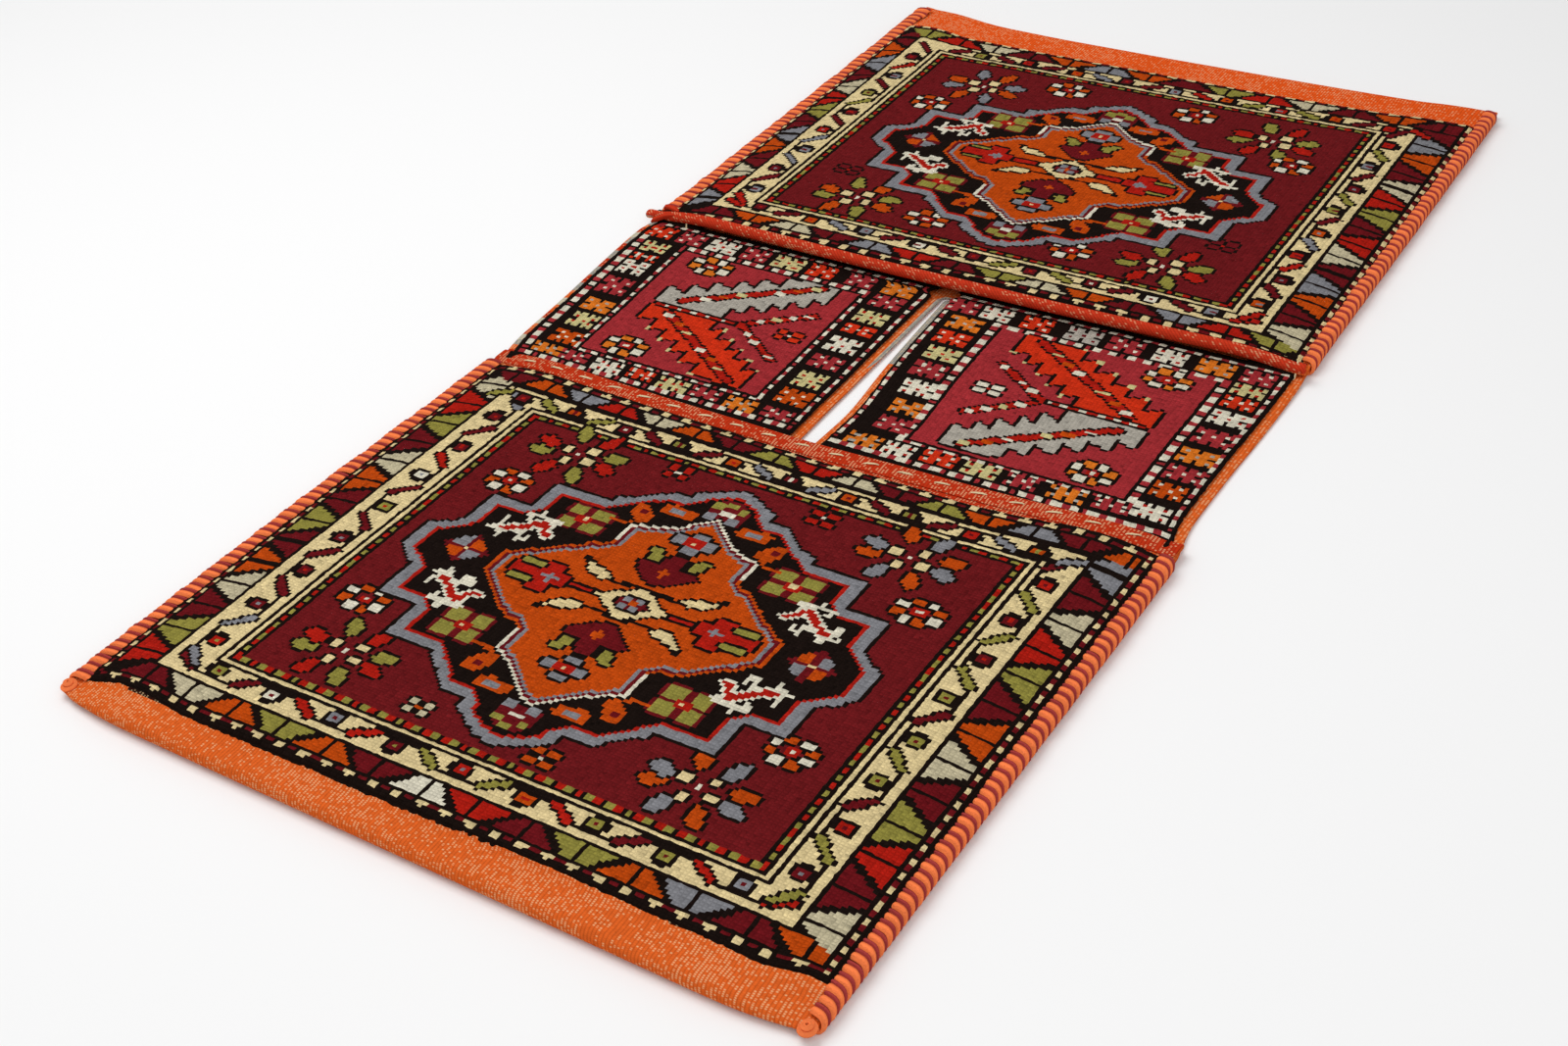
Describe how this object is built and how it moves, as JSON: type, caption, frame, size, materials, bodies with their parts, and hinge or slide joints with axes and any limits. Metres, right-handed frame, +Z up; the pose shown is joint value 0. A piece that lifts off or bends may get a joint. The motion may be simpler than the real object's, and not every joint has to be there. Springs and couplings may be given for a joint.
{
  "type": "kilim saddle bag",
  "caption": "Handwoven wool double saddle bag lying flat: pile-faced pouches with overcast side seams, joined by a slit bridge, one mouth hemmed flat and one rolled.",
  "frame": {"origin": "middle of the bag's plan, on the surface it lies on", "axes": "+Z up out of the pile side, +Y along the bag from the flat-hemmed pouch to the pouch with the rolled hem, +X across it to the right"},
  "size_m": [0.5814, 1.123, 0.0207],
  "materials": {
    "pile_cloth": "knotted wool pile, patterned in deep red, black-brown, cream, orange, olive and blue-grey, with flat-woven orange ends",
    "seam_yarn": "thick wool yarn, orange wraps with thin maroon wraps between them"
  },
  "bodies": {
    "root": {"woven_cloth": "pile_cloth", "near_left_seam": "seam_yarn", "near_right_seam": "seam_yarn", "far_left_seam": "seam_yarn", "far_right_seam": "seam_yarn"}
  },
  "joints": []
}
